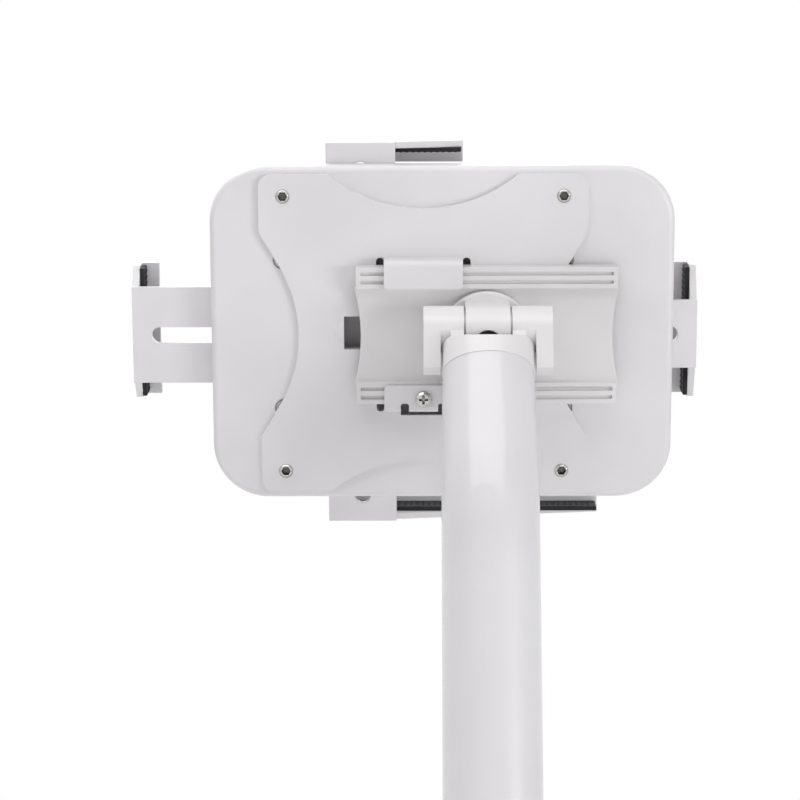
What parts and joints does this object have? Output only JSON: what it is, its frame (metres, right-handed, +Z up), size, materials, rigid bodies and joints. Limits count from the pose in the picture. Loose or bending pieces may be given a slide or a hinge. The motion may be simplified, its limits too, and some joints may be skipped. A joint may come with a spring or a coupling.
{
  "type": "tablet desk stand",
  "caption": "Desk stand for a tablet: bent tube column on a bolt-down base, with a tilting, swivelling and sideways-sliding head and spring-free clamp arms that slide to the tablet's edges.",
  "frame": {"origin": "middle of the underside of the base, on the desk", "axes": "+Z up, the reader sits at -Y and faces +Y, +X is the reader's right; the column stands at +Y"},
  "size_m": [0.2285, 0.18, 0.3734],
  "materials": {
    "white_paint": "fine-textured white powder coat",
    "rubber": "matt black",
    "bright_steel": "zinc plated",
    "chrome": "polished nickel plate",
    "dark_steel": "black oxide"
  },
  "bodies": {
    "stand": {"base_pad": "rubber", "base_plate": "white_paint", "base_bolts": "dark_steel", "column_foot": "bright_steel", "column_tube": "white_paint", "cable_grommet": "rubber", "column_cap": "white_paint", "hinge_yoke": "white_paint", "hinge_screws": "bright_steel", "tilt_washers": "bright_steel"},
    "tilt_head": {"tilt_knuckle": "white_paint", "swivel_bush": "bright_steel"},
    "rotor": {"rail_plate": "white_paint", "swivel_washer": "dark_steel"},
    "carriage": {"mounting_plate": "white_paint", "mounting_screws": "chrome", "mounting_nuts": "bright_steel", "lock_screw": "chrome", "rear_cover": "white_paint", "cover_screws": "bright_steel", "spacer_posts": "bright_steel", "front_plate": "white_paint", "front_screws": "dark_steel", "front_pads": "rubber", "guide_screws": "bright_steel", "guide_washers": "dark_steel", "guide_nuts": "bright_steel"},
    "arm_left": {"left_arm": "white_paint", "left_arm_pad": "rubber"},
    "arm_right": {"right_arm": "white_paint", "right_arm_pad": "rubber"},
    "arm_top": {"top_arm": "white_paint", "top_arm_pad": "rubber"},
    "arm_bottom": {"bottom_arm": "white_paint", "bottom_arm_pad": "rubber"}
  },
  "joints": [
    {"name": "head_tilt", "type": "hinge", "parent": "stand", "child": "tilt_head", "pos_m": [0, 0.02991, 0.29652], "axis": [-1, 0, 0], "range_deg": [-15, 50]},
    {"name": "head_swivel", "type": "hinge", "parent": "tilt_head", "child": "rotor", "pos_m": [0, 0.00967, 0.30001], "axis": [0, 0.9205, -0.3907], "range_deg": [-90, 90]},
    {"name": "head_slide", "type": "slide", "parent": "rotor", "child": "carriage", "axis": [1, 0, 0], "range_m": [-0.067, 0.022]},
    {"name": "left_arm_slide", "type": "slide", "parent": "carriage", "child": "arm_left", "axis": [1, 0, 0], "range_m": [0, 0.03]},
    {"name": "right_arm_slide", "type": "slide", "parent": "carriage", "child": "arm_right", "axis": [-1, 0, 0], "range_m": [0, 0.025]},
    {"name": "top_arm_slide", "type": "slide", "parent": "carriage", "child": "arm_top", "axis": [0, 0.3907, 0.9205], "range_m": [-0.003, 0.024]},
    {"name": "bottom_arm_slide", "type": "slide", "parent": "carriage", "child": "arm_bottom", "axis": [0, -0.3907, -0.9205], "range_m": [-0.003, 0.021]}
  ]
}
